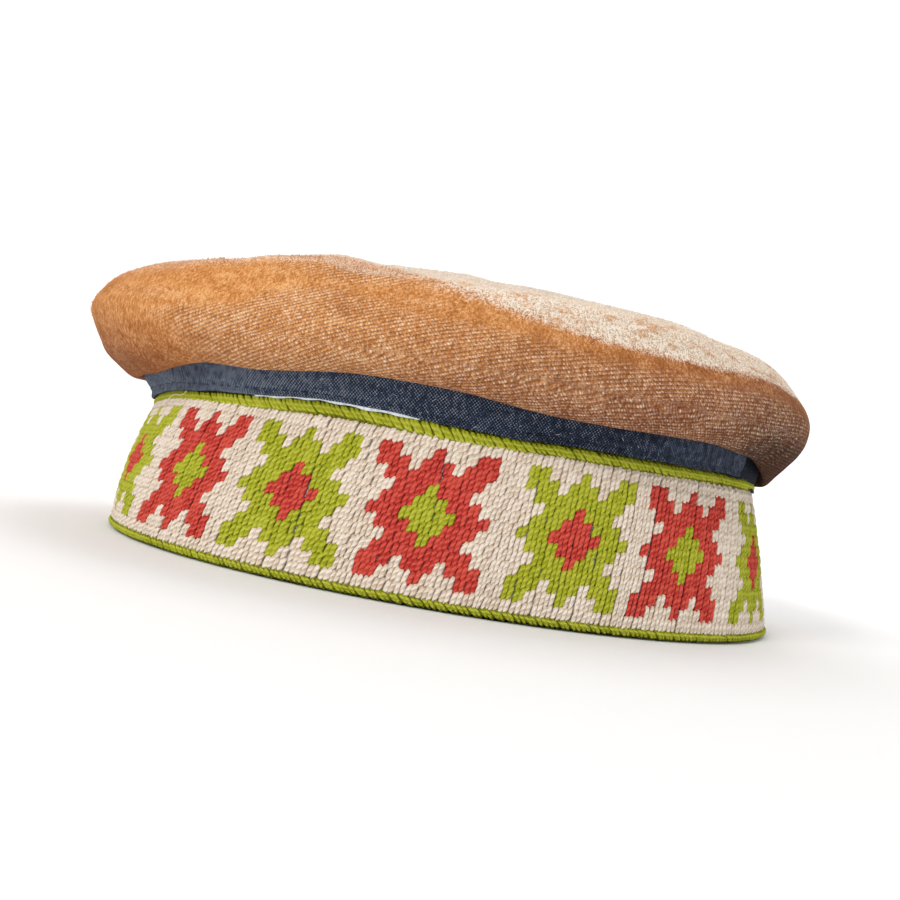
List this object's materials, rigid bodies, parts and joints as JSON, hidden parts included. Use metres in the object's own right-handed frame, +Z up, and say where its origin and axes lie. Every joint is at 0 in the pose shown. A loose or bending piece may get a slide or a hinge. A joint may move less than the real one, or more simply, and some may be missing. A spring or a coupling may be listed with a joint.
{
  "type": "gilgiti cap",
  "caption": "Soft flat-topped cap: a velvet crown puffs out over a flared oval band of wool embroidery with whipped edges and a navy cotton strip.",
  "frame": {"origin": "centre of the cap's length and width, on the surface that its lower edge rests on", "axes": "+Z up; -Y to the front, which is the side that the picture shows; +X to the viewer's right, along the oval's long axis"},
  "size_m": [0.2276, 0.1784, 0.0945],
  "materials": {
    "lower_edging": "lime green wool, whipped over the edge",
    "embroidered_band": "cream, red and lime green wool stitches on canvas",
    "upper_edging": "lime green wool, whipped over the edge",
    "lining": "plain navy cotton",
    "binding": "plain-weave navy cotton with one line of running stitches",
    "crown": "tan-brown knitted velvet, pale where its nap is seen at a grazing angle"
  },
  "bodies": {
    "root": {"lower_edging": "lower_edging", "embroidered_band": "embroidered_band", "upper_edging": "upper_edging", "lining": "lining", "binding": "binding", "crown": "crown"}
  },
  "joints": []
}
